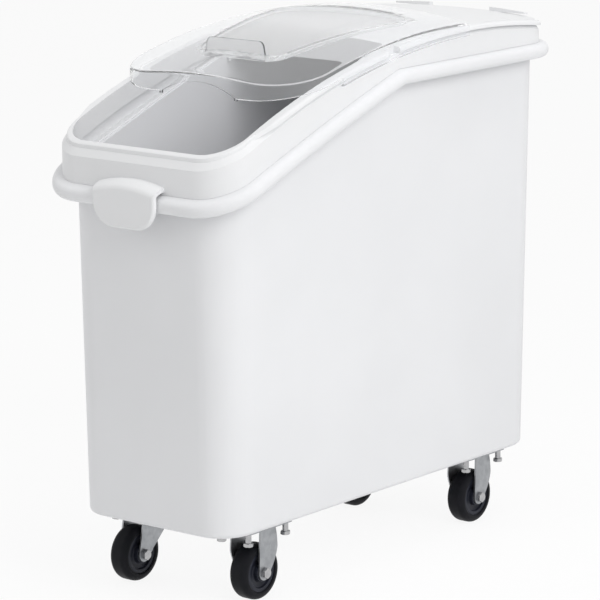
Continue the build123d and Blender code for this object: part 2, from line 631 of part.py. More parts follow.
with BuildPart() as cover_block:
    cover_plan(0, 0)
    roof(0, Mode.INTERSECT)
    roof_edges = cover_block.faces().filter_by(GeomType.PLANE, reverse=True).sort_by(Axis.Z)[-1].edges()
    fillet(roof_edges - roof_edges.sort_by(Axis.Y)[-1:], COVER_ROUND)
    whole_roof = cover_block.part
    add(panel_room.part, mode=Mode.SUBTRACT)
    fillet(new_edges(whole_roof, panel_room.part, combined=cover_block.part), PANEL_ROUND)
    with BuildSketch(Plane.YZ):
        with BuildLine():
            hook_low = arc_point(HOOK_FRONT_Y, HOOK_RADIUS)
            hook_middle = arc_point((HOOK_FRONT_Y + COVER_REAR_Y) / 2, HOOK_RADIUS)
            hook_end = arc_point(COVER_REAR_Y + REACH, HOOK_RADIUS)
            skirt_end = (HOOK_FRONT_Y, hook_low[1] + HOOK_STEP)
            low_z = SKIRT_FRONT_Z - ROOF_DEPTH
            ahead_y = COVER_FRONT_Y - REACH
            front_edge = (COVER_FRONT_Y, SKIRT_FRONT_Z)
            Polyline((ahead_y, low_z), (ahead_y, SKIRT_FRONT_Z), front_edge, skirt_end, hook_low)
            ThreePointArc(hook_low, hook_middle, hook_end)
            Polyline(hook_end, (COVER_REAR_Y + REACH, low_z), (ahead_y, low_z))
        make_face()
    extrude(amount=COVER_WIDTH, both=True, mode=Mode.SUBTRACT)

with BuildPart() as cover_hollow:
    cover_plan(COVER_SHEET, REACH)
    roof(-COVER_SHEET, Mode.INTERSECT)
    add(panel_sheet.part, mode=Mode.SUBTRACT)

with BuildPart() as cover_hooks:
    hook_inside = LID_WIDTH / 2 + HOOK_CLEARANCE
    hook_outside = COVER_WIDTH / 2 - COVER_SHEET / 2
    with BuildSketch(Plane.XY.offset(BASE_HEIGHT)):
        for side in (-1, 1):
            with Locations((side * (hook_inside + hook_outside) / 2, HOOK_FRONT_Y)):
                Rectangle(
                    hook_outside - hook_inside, COVER_REAR_Y - HOOK_FRONT_Y, align=(Align.CENTER, Align.MIN)
                )
    extrude(amount=BLANK_TOP - BASE_HEIGHT)
    slide_band(HOOK_RADIUS, HOOK_TOP_RADIUS, COVER_FRONT_Y, COVER_REAR_Y + REACH, Mode.INTERSECT)

with BuildPart() as cover_grip:
    with BuildSketch(Plane.XZ.offset(-PANEL_FRONT_Y)) as upright:
        with BuildLine():
            foot_z = GRIP_TOP_Z - GRIP_HEIGHT
            Polyline(
                (-GRIP_WIDTH / 2, foot_z),
                (GRIP_WIDTH / 2, foot_z),
                (GRIP_TOP_WIDTH / 2, GRIP_TOP_Z),
                (-GRIP_TOP_WIDTH / 2, GRIP_TOP_Z),
                close=True,
            )
        make_face()
        fillet(upright.vertices().group_by(Axis.Y)[-1], GRIP_CORNER)
    extrude(amount=-GRIP_THICKNESS)
    add(cover_hollow.part, mode=Mode.SUBTRACT)

with BuildPart() as cover:
    add(cover_block.part)
    add(cover_hollow.part, mode=Mode.SUBTRACT)
    add(cover_hooks.part)
    add(cover_grip.part)
    with BuildSketch(Plane.XZ.offset(-COVER_FRONT_Y + REACH)):
        with BuildLine():
            arch_half = ARCH_WIDTH / 2
            arch_foot = SKIRT_FRONT_Z - NIB_DROP
            arch_top = (0, SKIRT_FRONT_Z + ARCH_HEIGHT)
            Line((-arch_half, arch_foot), (-arch_half, SKIRT_FRONT_Z))
            ThreePointArc((-arch_half, SKIRT_FRONT_Z), arch_top, (arch_half, SKIRT_FRONT_Z))
            Polyline((arch_half, SKIRT_FRONT_Z), (arch_half, arch_foot), (-arch_half, arch_foot))
        make_face()
    extrude(amount=-2 * REACH, mode=Mode.SUBTRACT)
    with BuildSketch(Plane.XZ.offset(-COVER_FRONT_Y)):
        with Locations((-arch_half, SKIRT_FRONT_Z + NIB_RISE), (arch_half, SKIRT_FRONT_Z + NIB_RISE)):
            Rectangle(NIB_WIDTH, NIB_RISE + NIB_DROP, align=(Align.CENTER, Align.MAX))
    extrude(amount=-COVER_SHEET)
save(cover.part, "cover")


# Fasteners under the floor
with BuildPart() as plate_bolts:
    head_z = PLATE_Z - BOLT_SHOULDER_LENGTH - BOLT_HEAD_HEIGHT
    with BuildSketch(Plane.XY.offset(head_z)):
        with Locations(*BOLT_PLACES):
            RegularPolygon(BOLT_HEAD / 2, 6, major_radius=False)
    extrude(amount=BOLT_HEAD_HEIGHT)
    chamfer(plate_bolts.faces().sort_by(Axis.Z)[: len(BOLT_PLACES)].edges(), HEX_CHAMFER)
    with BuildSketch(Plane.XY.offset(head_z + BOLT_HEAD_HEIGHT)):
        with Locations(*BOLT_PLACES):
            Circle(BOLT_SHOULDER / 2)
    extrude(amount=BOLT_SHOULDER_LENGTH)
    with BuildSketch(Plane.XY.offset(PLATE_Z)):
        with Locations(*BOLT_PLACES):
            Circle(BOLT_DIAMETER / 2)
    extrude(amount=PLATE_THICKNESS + FLOOR + WASHER_THICKNESS + NUT_HEIGHT + BOLT_TAIL)
save(plate_bolts.part, "plate_bolts")

with BuildPart() as plate_washers:
    with BuildSketch(Plane.XY.offset(BASE_HEIGHT + FLOOR)):
        with Locations(*BOLT_PLACES):
            Circle(WASHER_DIAMETER / 2)
            Circle(BOLT_DIAMETER / 2 + HOLE_CLEARANCE, mode=Mode.SUBTRACT)
    extrude(amount=WASHER_THICKNESS)
save(plate_washers.part, "plate_washers")

with BuildPart() as plate_nuts:
    with BuildSketch(Plane.XY.offset(BASE_HEIGHT + FLOOR + WASHER_THICKNESS)):
        with Locations(*BOLT_PLACES):
            RegularPolygon(NUT_WIDTH / 2, 6, major_radius=False)
            Circle(BOLT_DIAMETER / 2 + PRESS_FIT, mode=Mode.SUBTRACT)
    extrude(amount=NUT_HEIGHT)
save(plate_nuts.part, "plate_nuts")


# Casters
def wheel_plane(x, y):
    """Plane through an axle in which X is along the axle and Y is up."""
    return Plane(origin=(x, y, AXLE_Z), x_dir=(1, 0, 0), z_dir=(0, -1, 0))


def wheel(name, x, y):
    """Tyre and core of one wheel, centred on its axle."""
    axle = Axis((x, y, AXLE_Z), (1, 0, 0))
    tread = WHEEL_DIAMETER / 2
    seat = CORE_DIAMETER / 2
    with BuildPart() as tyre:
        with BuildSketch(wheel_plane(x, y)) as section:
            with Locations((0, (tread + seat) / 2)):
                Rectangle(TYRE_WIDTH, tread - seat)
            fillet(section.vertices().group_by(Axis.Y)[-1], TYRE_ROUND)
            chamfer(section.vertices().group_by(Axis.Y)[0], TYRE_SIDE)
        revolve(section.sketch, axis=axle)
    save(tyre.part, f"{name}_tyre")

    rim_outside = seat - PRESS_FIT
    rim_inside = seat - CORE_RIM
    bore = SLEEVE_DIAMETER / 2 + RUNNING_FIT
    hub = HUB_DIAMETER / 2
    hub_width = FORK_GAP - 2 * HUB_CLEARANCE
    with BuildPart() as core:
        with BuildSketch(wheel_plane(x, y)) as section:
            with Locations((0, (rim_outside + rim_inside) / 2)):
                Rectangle(CORE_RIM_WIDTH, rim_outside - rim_inside)
            with Locations((0, (rim_outside + bore) / 2)):
                Rectangle(CORE_WEB, rim_outside - bore)
            with Locations((0, (hub + bore) / 2)):
                Rectangle(hub_width, hub - bore)
        revolve(section.sketch, axis=axle)
        circles = core.edges().filter_by(GeomType.CIRCLE)
        chamfer(circles.filter_by(lambda e: e.radius > bore + HEX_CHAMFER), HEX_CHAMFER)
    save(core.part, f"{name}_wheel_core")


def axle_set(name, x, y):
    """Bolt, nut and sleeve of one axle. The bolt head is on the right."""
    head_plane = Plane(origin=(x + LEG_OUTSIDE, y, AXLE_Z), x_dir=(0, 1, 0), z_dir=(1, 0, 0))
    nut_plane = Plane(origin=(x - LEG_OUTSIDE, y, AXLE_Z), x_dir=(0, 1, 0), z_dir=(-1, 0, 0))
    sleeve_plane = Plane(origin=(x, y, AXLE_Z), x_dir=(0, 1, 0), z_dir=(1, 0, 0))
    with BuildPart() as bolt:
        with BuildSketch(head_plane) as head:
            RegularPolygon(AXLE_HEAD / 2, 6, major_radius=False)
        extrude(head.sketch, amount=AXLE_HEAD_HEIGHT)
        chamfer(bolt.faces().sort_by(Axis.X)[-1].edges(), HEX_CHAMFER)
        with BuildSketch(head_plane) as shank:
            Circle(AXLE_DIAMETER / 2)
        extrude(shank.sketch, amount=-(2 * LEG_OUTSIDE + AXLE_NUT_HEIGHT + AXLE_TAIL))
    save(bolt.part, f"{name}_axle_bolt")

    with BuildPart() as nut:
        with BuildSketch(nut_plane) as blank:
            RegularPolygon(AXLE_HEAD / 2, 6, major_radius=False)
            Circle(AXLE_DIAMETER / 2 + PRESS_FIT, mode=Mode.SUBTRACT)
        extrude(blank.sketch, amount=AXLE_NUT_HEIGHT)
    save(nut.part, f"{name}_axle_nut")

    with BuildPart() as sleeve:
        with BuildSketch(sleeve_plane) as ring:
            Circle(SLEEVE_DIAMETER / 2)
            Circle(AXLE_DIAMETER / 2 + HOLE_CLEARANCE, mode=Mode.SUBTRACT)
        extrude(ring.sketch, amount=FORK_GAP / 2, both=True)
    save(sleeve.part, f"{name}_axle_sleeve")


def plate_sketch(x, y):
    """Outline of a top plate with its four bolt holes."""
    with Locations((x, y)):
        RectangleRounded(PLATE_WIDTH, PLATE_LENGTH, PLATE_CORNER)
        with GridLocations(BOLT_PITCH_X, BOLT_PITCH_Y, 2, 2):
            Circle(BOLT_DIAMETER / 2 + HOLE_CLEARANCE, mode=Mode.SUBTRACT)


def rivet_places(x, y, side):
    """Two rivets through the flange of one rigid leg."""
    middle = side * (LEG_REAR_TOP - LEG_FRONT_TOP) / 2
    rivet_x = x + side * (FORK_GAP / 2 - LEG_FLANGE / 2)
    return [(rivet_x, y + middle + step * RIVET_SPACING / 2) for step in (-1, 1)]


def rigid_leg(name, x, y, side):
    """One stamped leg with a flange under the plate. The two legs are alike, turned half round."""
    top = PLATE_Z - AXLE_Z
    heel = (LEG_BOSS, -LEG_HEEL_DROP)
    bulge = (LEG_BULGE, LEG_BULGE_RISE)
    inside = x + side * FORK_GAP / 2
    leg_plane = Plane(origin=(inside, y, AXLE_Z), x_dir=(0, side, 0), z_dir=(side, 0, 0))
    with BuildPart() as leg:
        with BuildSketch(leg_plane) as outline:
            with BuildLine():
                Line((-LEG_FRONT_TOP, top), (-LEG_FRONT_AXLE, 0))
                ThreePointArc((-LEG_FRONT_AXLE, 0), (0, -LEG_BOSS), heel)
                ThreePointArc(heel, (LEG_REAR_AXLE, LEG_REAR_RISE), bulge)
                TangentArc(bulge, (LEG_REAR_TOP, top), tangent=(0, 1))
                Line((LEG_REAR_TOP, top), (-LEG_FRONT_TOP, top))
            make_face()
            Circle(AXLE_DIAMETER / 2 + HOLE_CLEARANCE, mode=Mode.SUBTRACT)
        extrude(outline.sketch, amount=FORK_SHEET)
        with BuildSketch(leg_plane.offset(FORK_SHEET)) as crease:
            with BuildLine():
                Polyline(
                    (LEG_CREASE_AXLE, -LEG_BOSS - REACH),
                    (LEG_CREASE_TOP, top),
                    (LEG_BULGE + REACH, top),
                    (LEG_BULGE + REACH, -LEG_BOSS - REACH),
                    close=True,
                )
            make_face()
        extrude(crease.sketch, amount=-CREASE_DEPTH, mode=Mode.SUBTRACT)
        with BuildSketch(Plane.XY.offset(PLATE_Z)) as flange:
            with Locations((inside, y + side * (LEG_REAR_TOP - LEG_FRONT_TOP) / 2)):
                edge = Align.MAX if side > 0 else Align.MIN
                Rectangle(LEG_FLANGE, LEG_REAR_TOP + LEG_FRONT_TOP, align=(edge, Align.CENTER))
            with Locations(*rivet_places(x, y, side)):
                Circle(RIVET_DIAMETER / 2 + PRESS_FIT, mode=Mode.SUBTRACT)
        extrude(flange.sketch, amount=-FORK_SHEET)
    save(leg.part, name)


def rigid_caster(name, x, y):
    """Plate, two legs, axle and wheel of a caster that doesn't swivel."""
    with BuildPart() as plate:
        with BuildSketch(Plane.XY.offset(PLATE_Z)) as outline:
            plate_sketch(x, y)
            with Locations(*rivet_places(x, y, 1), *rivet_places(x, y, -1)):
                Circle(RIVET_DIAMETER / 2 + PRESS_FIT, mode=Mode.SUBTRACT)
        extrude(outline.sketch, amount=PLATE_THICKNESS)
    save(plate.part, f"{name}_plate")
    rigid_leg(f"{name}_outer_leg", x, y, 1)
    rigid_leg(f"{name}_inner_leg", x, y, -1)
    axle_set(name, x, y)
    wheel(name, x, y)


def race(name, z, thickness, x, y, ball_z):
    """One ring of a swivel head with its ball groove."""
    with BuildPart() as ring:
        with BuildSketch(Plane.XY.offset(z)) as outline:
            with Locations((x, y)):
                Circle((BALL_PITCH + RACE_WIDTH) / 2)
                Circle((BALL_PITCH - RACE_WIDTH) / 2, mode=Mode.SUBTRACT)
        extrude(outline.sketch, amount=thickness)
        with BuildSketch(Plane(origin=(x, y, ball_z), x_dir=(1, 0, 0), z_dir=(0, -1, 0))) as groove:
            with Locations((BALL_PITCH / 2, 0)):
                Circle(BALL_DIAMETER / 2 + BALL_CLEARANCE)
        revolve(groove.sketch, axis=Axis((x, y, ball_z), (0, 0, 1)), mode=Mode.SUBTRACT)
    save(ring.part, name)


def fork(name, x, y):
    """Stamped fork of a swivel caster: a round crown and two legs that trail to the axle."""
    axle_y = y - TRAIL
    crown_top = CROWN_TOP_Z - AXLE_Z
    crown_rear = TRAIL + sqrt((CROWN_DIAMETER / 2) ** 2 - LEG_OUTSIDE**2)
    crown_front = TRAIL - sqrt((CROWN_DIAMETER / 2) ** 2 - LEG_OUTSIDE**2)
    shoulder = crown_top - FORK_SHOULDER_DROP
    heel = (LEG_BOSS, -LEG_HEEL_DROP)
    with BuildPart() as body:
        for side in (-1, 1):
            inside = Plane(origin=(x + side * FORK_GAP / 2, axle_y, AXLE_Z), x_dir=(0, 1, 0), z_dir=(1, 0, 0))
            with BuildSketch(inside) as outline:
                with BuildLine():
                    Polyline(
                        (-LEG_FRONT_AXLE, 0),
                        (-FORK_FRONT_TOP, shoulder),
                        (crown_front, crown_top),
                        (crown_rear, crown_top),
                        (FORK_KNEE, FORK_KNEE_RISE),
                        heel,
                    )
                    ThreePointArc(heel, (0, -LEG_BOSS), (-LEG_FRONT_AXLE, 0))
                make_face()
                Circle(AXLE_DIAMETER / 2 + HOLE_CLEARANCE, mode=Mode.SUBTRACT)
            extrude(outline.sketch, amount=side * FORK_SHEET)
        with BuildSketch(Plane.XY.offset(CROWN_Z)) as crown:
            with Locations((x, y)):
                Circle(CROWN_DIAMETER / 2)
                Circle(KINGPIN_DIAMETER / 2 + RUNNING_FIT, mode=Mode.SUBTRACT)
        extrude(crown.sketch, amount=FORK_SHEET)
        for side in (-1, 1):
            outside = Plane(origin=(x + side * LEG_OUTSIDE, axle_y, AXLE_Z), x_dir=(0, 1, 0), z_dir=(1, 0, 0))
            with BuildSketch(outside) as crease:
                with BuildLine():
                    Polyline(
                        (FORK_CREASE, -LEG_BOSS - REACH),
                        (FORK_CREASE, CROWN_Z - AXLE_Z),
                        (FORK_KNEE + REACH, CROWN_Z - AXLE_Z),
                        (FORK_KNEE + REACH, -LEG_BOSS - REACH),
                        close=True,
                    )
                make_face()
            extrude(crease.sketch, amount=-side * CREASE_DEPTH, mode=Mode.SUBTRACT)
    save(body.part, name)


def swivel_caster(name, x, y):
    """Plate, kingpin, ball race, fork, axle and wheel of a caster that swivels."""
    ball_z = CROWN_TOP_Z + HEAD_HEIGHT / 2
    race_thickness = (HEAD_HEIGHT - RACE_GAP) / 2
    with BuildPart() as plate:
        with BuildSketch(Plane.XY.offset(PLATE_Z)) as outline:
            plate_sketch(x, y)
            with Locations((x, y)):
                Circle(KINGPIN_DIAMETER / 2 + PRESS_FIT, mode=Mode.SUBTRACT)
        extrude(outline.sketch, amount=PLATE_THICKNESS)
    save(plate.part, f"{name}_plate")

    with BuildPart() as kingpin:
        with BuildSketch(Plane.XY.offset(CROWN_Z - KINGPIN_GAP)) as head:
            with Locations((x, y)):
                Circle(KINGPIN_HEAD / 2)
        extrude(head.sketch, amount=-KINGPIN_HEAD_HEIGHT)
        with BuildSketch(Plane.XY.offset(CROWN_Z - KINGPIN_GAP)) as shank:
            with Locations((x, y)):
                Circle(KINGPIN_DIAMETER / 2)
        extrude(shank.sketch, amount=BASE_HEIGHT - CROWN_Z + KINGPIN_GAP)
        with BuildSketch(Plane.XY.offset(PLATE_Z)) as collar:
            with Locations((x, y)):
                Circle(KINGPIN_COLLAR / 2)
        extrude(collar.sketch, amount=-KINGPIN_COLLAR_HEIGHT)
    save(kingpin.part, f"{name}_kingpin")

    race(f"{name}_upper_race", PLATE_Z - race_thickness, race_thickness, x, y, ball_z)
    race(f"{name}_lower_race", CROWN_TOP_Z, race_thickness, x, y, ball_z)
    with BuildPart() as balls:
        with Locations((x, y, ball_z)):
            with PolarLocations(BALL_PITCH / 2, BALL_COUNT):
                Sphere(BALL_DIAMETER / 2)
    save(balls.part, f"{name}_balls")
    fork(f"{name}_fork", x, y)
    axle_set(name, x, y - TRAIL)
    wheel(name, x, y - TRAIL)


rivets = []
for caster_name, caster_x, caster_y in CASTERS:
    if "left" in caster_name:
        swivel_caster(caster_name, caster_x, caster_y)
    else:
        rigid_caster(caster_name, caster_x, caster_y)
        rivets += rivet_places(caster_x, caster_y, 1) + rivet_places(caster_x, caster_y, -1)

with BuildPart() as leg_rivets:
    with BuildSketch(Plane.XY.offset(PLATE_Z - FORK_SHEET)):
        with Locations(*rivets):
            Circle(RIVET_HEAD / 2)
    extrude(amount=-RIVET_HEAD_HEIGHT)
    with BuildSketch(Plane.XY.offset(PLATE_Z - FORK_SHEET)):
        with Locations(*rivets):
            Circle(RIVET_DIAMETER / 2)
    extrude(amount=FORK_SHEET + PLATE_THICKNESS)
save(leg_rivets.part, "leg_rivets")
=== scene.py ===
# %% [markdown]
# # A rolling ingredient bin, dressed for the studio
# The bin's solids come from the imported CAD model, which is a fixed frame: every piece made here sits exactly
# where its solid sits. This lesson gives the mouldings clean skins, makes the fasteners and the wheels with
# Geometry Nodes, writes a finish for each material, and sets up the light and the camera.

# %% Load the frame and keep its box
import json
from math import cos, pi, radians, sin, sqrt

import bmesh
import bpy
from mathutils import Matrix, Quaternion, Vector


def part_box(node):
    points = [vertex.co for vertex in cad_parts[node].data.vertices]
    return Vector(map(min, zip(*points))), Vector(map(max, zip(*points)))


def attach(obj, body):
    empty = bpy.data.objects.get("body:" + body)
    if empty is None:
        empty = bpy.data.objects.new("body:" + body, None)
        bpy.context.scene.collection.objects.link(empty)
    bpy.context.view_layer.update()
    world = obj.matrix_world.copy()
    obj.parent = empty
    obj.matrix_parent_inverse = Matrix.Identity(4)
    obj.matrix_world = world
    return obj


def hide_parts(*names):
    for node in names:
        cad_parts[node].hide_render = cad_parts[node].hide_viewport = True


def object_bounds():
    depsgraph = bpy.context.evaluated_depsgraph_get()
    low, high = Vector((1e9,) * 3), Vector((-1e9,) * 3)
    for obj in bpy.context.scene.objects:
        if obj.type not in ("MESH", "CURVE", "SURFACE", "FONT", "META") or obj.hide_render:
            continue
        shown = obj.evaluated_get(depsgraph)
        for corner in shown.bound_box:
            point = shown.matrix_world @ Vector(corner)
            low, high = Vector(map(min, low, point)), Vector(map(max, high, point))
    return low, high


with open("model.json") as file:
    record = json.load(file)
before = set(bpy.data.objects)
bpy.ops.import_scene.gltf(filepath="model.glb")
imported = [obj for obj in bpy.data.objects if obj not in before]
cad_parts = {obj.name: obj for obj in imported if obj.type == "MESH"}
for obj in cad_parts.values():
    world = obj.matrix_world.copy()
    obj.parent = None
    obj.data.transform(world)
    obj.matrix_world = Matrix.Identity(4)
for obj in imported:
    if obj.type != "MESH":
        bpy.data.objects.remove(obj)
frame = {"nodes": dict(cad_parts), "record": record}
cad_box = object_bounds()
scene = bpy.context.scene
NODES = frame["nodes"]
BODY_OF = {node: body for body, nodes in frame["record"]["behaviour"]["bodies"].items() for node in nodes}
SLOT_OF = {row["node"]: row["material_slot"] for row in frame["record"]["subparts"]}

# %% [markdown]
# ## Node trees as Python
# A finish or a shape is easier to read as a formula than as a web of nodes. `Value` wraps one socket, so that
# `0.4 + 0.1 * grain` adds the Math nodes by itself. `Web` is a node tree under way, and its `add` method
# places any other node from its type, its settings and its sockets. Shaders and shapes share both.


# %% A socket with operators
class Value:
    """One output socket of a node tree, with Python's operators for maths."""

    def __init__(self, web, socket):
        self.web = web
        self.socket = socket

    def maths(self, operation, first, second=0.0):
        return self.web.add("ShaderNodeMath", {"operation": operation}, {0: first, 1: second})

    def __add__(self, other):
        return self.maths("ADD", self, other)

    __radd__ = __add__

    def __mul__(self, other):
        return self.maths("MULTIPLY", self, other)

    __rmul__ = __mul__

    def __sub__(self, other):
        return self.maths("SUBTRACT", self, other)

    def __rsub__(self, other):
        return self.maths("SUBTRACT", other, self)

    def __truediv__(self, other):
        return self.maths("DIVIDE", self, other)

    def __gt__(self, other):
        return self.maths("GREATER_THAN", self, other)

    def __abs__(self):
        return self.maths("ABSOLUTE", self)

    def least(self, other):
        return self.maths("MINIMUM", self, other)


# %% A tree that adds any node
class Web:
    """A node tree under way, with one method that adds any node."""

    def __init__(self, tree):
        self.tree = tree
        tree.nodes.clear()

    def node(self, kind, settings=None, sockets=None):
        """Add a node. Its settings come first, then its sockets' values or links."""
        node = self.tree.nodes.new(kind)
        for name, setting in (settings or {}).items():
            setattr(node, name, setting)
        for name, value in (sockets or {}).items():
            if isinstance(value, Value):
                self.tree.links.new(value.socket, node.inputs[name])
            else:
                node.inputs[name].default_value = value
        return node

    def add(self, kind, settings=None, sockets=None, out=0):
        """Add a node and return one of its outputs."""
        node = self.node(kind, settings, sockets)
        return Value(self, node.outputs[out]) if node.outputs else None


# %% [markdown]
# ## What every finish needs
# All patterns are laid on Object coordinates. Each piece sits at the origin, so these are metres in the bin's
# own frame, and a pattern keeps its real size and runs on across neighbouring pieces.


# %% A material under way
class Finish(Web):
    """A material under way, with the few moves that every finish is made of."""

    def __init__(self, name):
        self.material = bpy.data.materials.new(name)
        self.material.use_nodes = True
        super().__init__(self.material.node_tree)

    def place(self, scale=(1, 1, 1), turn=(0, 0, 0)):
        """Object coordinates, stretched and turned."""
        coordinates = self.add("ShaderNodeTexCoord", out="Object")
        return self.add("ShaderNodeMapping", {}, {"Vector": coordinates, "Scale": scale, "Rotation": turn})

    def noise(self, scale, detail=2.0, where=None, rough=0.5):
        """A cloud of values from 0 to 1. The scale is in clouds to the metre."""
        where = where or self.place()
        sockets = {"Vector": where, "Scale": scale, "Detail": detail, "Roughness": rough}
        return self.add("ShaderNodeTexNoise", {}, sockets)

    def steps(self, value, low=0.3, high=0.7):
        """Values below low become 0 and above high become 1, with a smooth rise between."""
        sockets = {"Value": value, "From Min": low, "From Max": high}
        return self.add("ShaderNodeMapRange", {"interpolation_type": "SMOOTHSTEP"}, sockets)

    def blend(self, share, first, second):
        """A colour between two colours."""
        return self.add("ShaderNodeMix", {"data_type": "RGBA"}, {"Factor": share, 6: first, 7: second}, out=2)

    def bump(self, height, depth):
        """A normal from a height, whose full range is a depth in metres."""
        return self.add("ShaderNodeBump", {}, {"Height": height, "Distance": depth})

    def principled(self, **sockets):
        """A Principled shader. An underscore in a socket's name stands for a space."""
        names = {name.replace("_", " "): value for name, value in sockets.items()}
        return self.add("ShaderNodeBsdfPrincipled", {}, names)

    def done(self, surface):
        """Link the surface to the output, and hand over the material."""
        self.add("ShaderNodeOutputMaterial", {}, {"Surface": surface})
        print("finish:", self.material.name, len(self.tree.nodes), "nodes")
        return self.material


# %% [markdown]
# ## White moulded plastic
# The tub and the lid are moulded in white polyethylene with a satin skin. A plain white shader looks like
# paper, so the colour drifts a little over a hand's breadth, the skin has a fine grain that breaks up the
# highlights, and the roughness wanders in long soft streaks, as rubbed plastic does. A cool tint keeps the
# shaded sides from going yellow.


# %% White plastic
def white_plastic(name, light, dark, rough):
    """A white finish from its two near colours and its least roughness."""
    finish = Finish(name)
    drift = finish.noise(scale=5.0)
    grain = finish.noise(scale=900.0)
    streaks = finish.place(scale=(1.0, 1.0, 0.25))
    rubbed = finish.noise(scale=26.0, detail=4.0, where=streaks, rough=0.6)
    shader = finish.principled(
        Base_Color=finish.blend(finish.steps(drift), light, dark),
        Roughness=rough + 0.10 * rubbed + 0.06 * grain,
        IOR=1.5,
        Normal=finish.bump(grain, depth=0.00006),
    )
    return finish.done(shader)


TUB_WHITE = white_plastic(
    "tub_white", light=(0.845, 0.85, 0.865, 1), dark=(0.82, 0.825, 0.84, 1), rough=0.40
)
LID_WHITE = white_plastic(
    "lid_white", light=(0.85, 0.855, 0.865, 1), dark=(0.825, 0.83, 0.84, 1), rough=0.34
)

# %% [markdown]
# ## Clear polycarbonate
# The cover is a thin clear moulding, so it is a real shell with light going through both faces. A thin
# sheet hardly bends what lies behind it, so its IOR is close to 1, and a tenth of the light scatters as a
# faint haze. A glass shader stops the lamps, and what lies below would stand in the dark. A Transparent
# shader takes over for shadow rays, so that the lamps reach through, and for scattered rays, so that no lamp
# is counted twice. The sunk panel has a satin skin that blurs what lies below. The cut edges get a dark
# colour, a painted shade that stands in for the light from behind that is turned aside there.


# %% Clear plastic
def clear_plastic(name, fresh, wiped, dull, bend, clear):
    """A clear finish from its two colours, its dullness, its bend of the light, and the share that passes."""
    finish = Finish(name)
    strokes = finish.place(scale=(1.0, 0.12, 1.0), turn=(0, 0, 0.5))
    wipe = finish.noise(scale=34.0, detail=5.0, where=strokes, rough=0.65)
    marks = finish.steps(wipe, low=0.55, high=0.75)
    sheet = finish.principled(
        Base_Color=finish.blend(marks, fresh, wiped),
        Roughness=dull + 0.04 * marks,
        IOR=bend,
        Transmission_Weight=clear,
    )
    passing = finish.add("ShaderNodeBsdfTransparent", {}, {"Color": (0.985, 0.985, 0.99, 1)})
    path = finish.node("ShaderNodeLightPath").outputs
    for ray in ("Is Shadow Ray", "Is Diffuse Ray"):
        sockets = {0: Value(finish, path[ray]), 1: sheet, 2: passing}
        sheet = finish.add("ShaderNodeMixShader", {}, sockets)
    return finish.done(sheet)


CLEAR = clear_plastic(
    "cover_clear",
    fresh=(0.97, 0.975, 0.98, 1),
    wiped=(0.94, 0.945, 0.955, 1),
    dull=0.02,
    bend=1.12,
    clear=0.9,
)
SATIN = clear_plastic(
    "cover_satin",
    fresh=(0.96, 0.965, 0.97, 1),
    wiped=(0.945, 0.95, 0.96, 1),
    dull=0.42,
    bend=1.45,
    clear=0.75,
)
# Painted shade: the cut edges are near black, in place of the light from behind that the sheet turns aside.
PAINTED_EDGE_SHADE = clear_plastic(
    "cover_edge",
    fresh=(0.10, 0.10, 0.11, 1),
    wiped=(0.08, 0.08, 0.09, 1),
    dull=0.40,
    bend=1.3,
    clear=0.3,
)

# %% [markdown]
# ## Plated steel
# The plates, legs and forks of the casters are zinc-plated sheet, a soft grey with cloudy patches and fine
# rolling lines. Bolts and nuts are smoother and brighter. One function makes both from noise at two scales,
# and only the colours, the roughness and the weight of the lines differ.


# %% Metals
def plated_steel(name, light, dark, rough, streak):
    """A metal finish from its two colours, its least roughness and the weight of its lines."""
    finish = Finish(name)
    cloud = finish.noise(scale=90.0, detail=4.0, rough=0.6)
    rolling = finish.place(scale=(1.0, 1.0, 0.05))
    lines = finish.noise(scale=700.0, detail=3.0, where=rolling)
    shader = finish.principled(
        Base_Color=finish.blend(finish.steps(cloud), light, dark),
        Metallic=1.0,
        Roughness=rough + 0.12 * cloud + streak * lines,
        Normal=finish.bump(lines, depth=0.00003),
    )
    return finish.done(shader)


ZINC = plated_steel(
    "zinc_sheet", light=(0.40, 0.41, 0.425, 1), dark=(0.32, 0.33, 0.345, 1), rough=0.30, streak=0.08
)
BRIGHT = plated_steel(
    "bright_steel", light=(0.50, 0.50, 0.505, 1), dark=(0.40, 0.40, 0.41, 1), rough=0.14, streak=0.05
)

# %% [markdown]
# ## Rubber and nylon
# The tyres are black rubber with a dull grain, and the discs inside them are a dark blue-grey nylon. To the
# shader both are plastics, so one function makes them from two near colours and a fine grain for the bump.
# The specular level is low, because with the usual gloss a black tyre looks grey.


# %% Rubber and nylon
def caster_plastic(name, plain, patches, rough, shine, grain_scale, depth):
    """A dark finish from its two colours, its roughness, its gloss and its grain."""
    finish = Finish(name)
    cloud = finish.noise(scale=60.0, detail=3.0)
    grain = finish.noise(scale=grain_scale, detail=3.0)
    shader = finish.principled(
        Base_Color=finish.blend(finish.steps(cloud), plain, patches),
        Roughness=rough + 0.14 * cloud,
        Specular_IOR_Level=shine,
        Normal=finish.bump(grain, depth),
    )
    return finish.done(shader)


RUBBER = caster_plastic(
    "tyre_black",
    plain=(0.007, 0.008, 0.010, 1),
    patches=(0.010, 0.010, 0.013, 1),
    rough=0.40,
    shine=0.11,
    grain_scale=1500.0,
    depth=0.00008,
)
NYLON = caster_plastic(
    "disc_grey",
    plain=(0.019, 0.021, 0.032, 1),
    patches=(0.014, 0.016, 0.025, 1),
    rough=0.34,
    shine=0.24,
    grain_scale=1100.0,
    depth=0.00006,
)

# %% [markdown]
# ## Clean copies of the mouldings
# A CAD mesh is loose triangles. A copy of it is merged, its flat triangles are joined into whole faces, and
# edges sharper than an angle stay crisp while the rest shade smooth. A narrow bevel then rounds the crisp
# edges, because the tool that shapes a moulding has no knife edges. The cover's thin sheet keeps its own.

# %% A helper for copies
SHARP = radians(30.0)  # an edge that turns by more stays crisp
FLAT = radians(0.3)  # triangles that turn by less are joined


def stands_for(piece, node):
    """Let a finished piece ride with its solid's body and stand for the solid."""
    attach(piece, BODY_OF[node])
    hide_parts(node)


